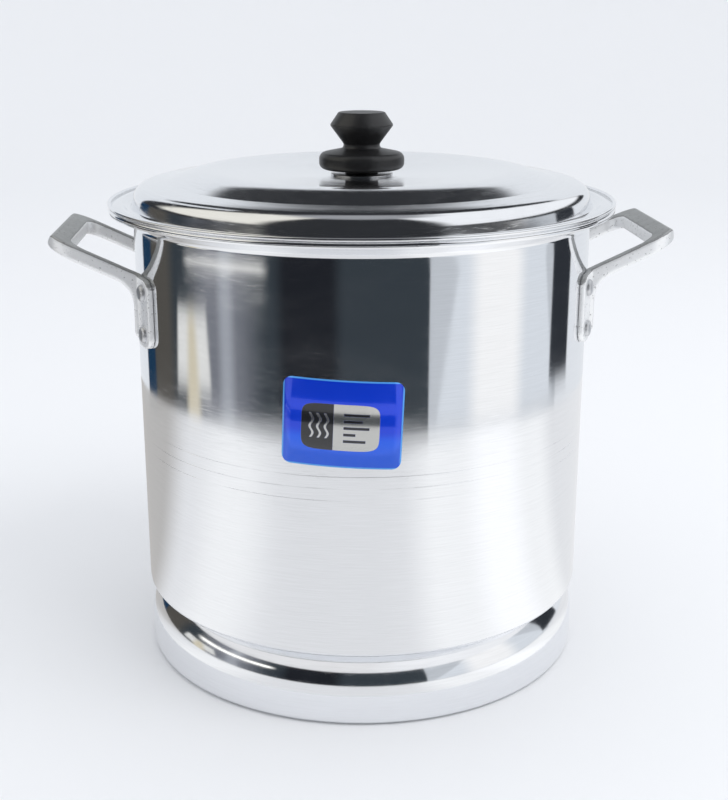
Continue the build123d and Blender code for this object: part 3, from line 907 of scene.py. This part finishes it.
# %% Rack and insert
dress(frame["nodes"]["steamer_rack"], rack_metal, smooth=False)
brass = Finish("brass", Metallic=1.0)
bx, by, bz = brass.place()
b_lines = brass.noise(brass.join(bx, by, bz * 8), 900.0, 2.0)
brass.drive("Base Color", brass.blend(b_lines, (0.62, 0.46, 0.18, 1), (0.78, 0.62, 0.30, 1)))
brass.drive("Roughness", 0.25 + b_lines * 0.15)
dress(frame["nodes"]["knob_insert"], brass, smooth=False)
print("rack and insert finished")

# %% [markdown]
# ## The label
#
# A thin glossy film with rounded corners, stuck on a little crookedly. It is cut flat, gets its UV
# map while it is flat, and is then sliced into narrow strips so that it can bend round the wall.
# Its print is plain: two blues, of which the lighter one on the lower part is a painted reflection, a
# pale border, and a silver panel with steam waves and dark bars.

# %% Label
LABEL_WIDTH = 71 * MM
LABEL_HEIGHT = 53 * MM
LABEL_CORNER = 5.5 * MM
LABEL_GAUGE = 0.2 * MM
LABEL_TURN = radians(7.8)
LABEL_TILT = radians(2.5)
LABEL_STRIPS = 36
FILM_GAUGE = LABEL_GAUGE * 0.9

label_low, label_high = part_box("front_label")
label_middle = (label_low.z + label_high.z) / 2
film = bmesh.new()
film_uv = film.loops.layers.uv.new("print")
bmesh.ops.create_grid(film, x_segments=1, y_segments=1, size=0.5)
bmesh.ops.scale(film, vec=(LABEL_WIDTH, LABEL_HEIGHT, 1), verts=film.verts[:])
bmesh.ops.bevel(film, geom=film.verts[:], offset=LABEL_CORNER, offset_type="OFFSET", segments=8,
                profile=0.5, affect="VERTICES", material=-1)
for face in film.faces:
    for loop in face.loops:
        loop[film_uv].uv = (loop.vert.co.x / LABEL_WIDTH + 0.5, loop.vert.co.y / LABEL_HEIGHT + 0.5)
bmesh.ops.rotate(film, verts=film.verts[:], cent=(0, 0, 0), matrix=Matrix.Rotation(-LABEL_TILT, 3, "Z"))
for strip in range(1, LABEL_STRIPS):
    cut = (strip / LABEL_STRIPS - 0.5) * (LABEL_WIDTH + LABEL_HEIGHT * sin(LABEL_TILT))
    everything = film.verts[:] + film.edges[:] + film.faces[:]
    bmesh.ops.bisect_plane(film, geom=everything, plane_co=(cut, 0, 0), plane_no=(1, 0, 0))
for point in film.verts:
    bearing = point.co.x / POT_RADIUS - LABEL_TURN
    out = POT_RADIUS + LABEL_GAUGE
    point.co = (out * sin(bearing), -out * cos(bearing), label_middle + point.co.y)
bmesh.ops.recalc_face_normals(film, faces=film.faces[:])
if sum(face.normal.y for face in film.faces) > 0:
    bmesh.ops.reverse_faces(film, faces=film.faces[:])
bmesh.ops.solidify(film, geom=film.faces[:], thickness=FILM_GAUGE)

# %% Label print
ink = Finish("label_print", Coat_Weight=0.5, Coat_Roughness=0.05)
print_uv = Wire(ink, ink.node("UVMap", {"uv_map": "print"}).outputs[0])
uv = ink.node("SeparateXYZ", inputs={"Vector": print_uv})
across = (Wire(ink, uv.outputs["X"]) - 0.5) * (LABEL_WIDTH / MM)
up = (Wire(ink, uv.outputs["Y"]) - 0.5) * (LABEL_HEIGHT / MM)
SHARP = 0.12                    # softness of a printed edge, in millimetres

# Painted reflection: the blue is lighter on the lower part of the label.
blues_with_painted_reflection = ink.blend(ink.ramp(up, -11, -3), (0.0, 0.11, 0.84, 1), (0.0, 0.045, 0.68, 1))
BORDER = 1.0                    # width of the pale border, in millimetres
half_width = LABEL_WIDTH / MM / 2 - BORDER
half_height = LABEL_HEIGHT / MM / 2 - BORDER
past_side = ink.maths("ABSOLUTE", across) - half_width
past_end = ink.maths("ABSOLUTE", up) - half_height
rim = ink.maths("MAXIMUM", past_side, past_end)
blues_with_painted_reflection = ink.blend(ink.ramp(rim, -0.2, 0.4), blues_with_painted_reflection, (0.10, 0.42, 1.0, 1))

panel_across, panel_up = (across + 1) / 23, (up + 2) / 14
panel = 1 - ink.ramp(panel_across ** 6 + panel_up ** 6, 0.95, 1.05)
block = ink.between(across, -60, -5, SHARP)
steam = ink.maths("SINE", up * 0.75) * 0.9
waves = 0
for centre in (-18, -13.5, -9):
    waves = waves + ink.between(across - steam, centre - 0.7, centre + 0.7, SHARP)
waves = waves * ink.between(up, -9, 6, SHARP)
bars = 0
for row, length in enumerate((15, 11, 15, 7, 13)):
    bar = ink.between(across, 1, 1 + length, SHARP) * ink.between(up, 5 - 4 * row, 6.6 - 4 * row, SHARP)
    bars = bars + bar
inked = panel * (block * (1 - waves) + bars)
foil = panel * (1 - inked)
colour = ink.blend(foil, blues_with_painted_reflection, (0.62, 0.62, 0.60, 1))
ink.drive("Base Color", ink.blend(inked, colour, (0.012, 0.013, 0.016, 1)))
ink.drive("Metallic", (1 - panel) * 0.25 + foil * 0.95)
wrinkles = ink.noise(ink.join(across, up, 0.0), 0.09, 3.0, 0.6)
ink.drive("Roughness", 0.16 + wrinkles * 0.12)
ink.raise_surface(wrinkles, 0.03 * MM)
label = dress(keep("label", film), ink)
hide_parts("front_label")
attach(label, "pot")
print("label:", len(label.data.polygons), "faces")
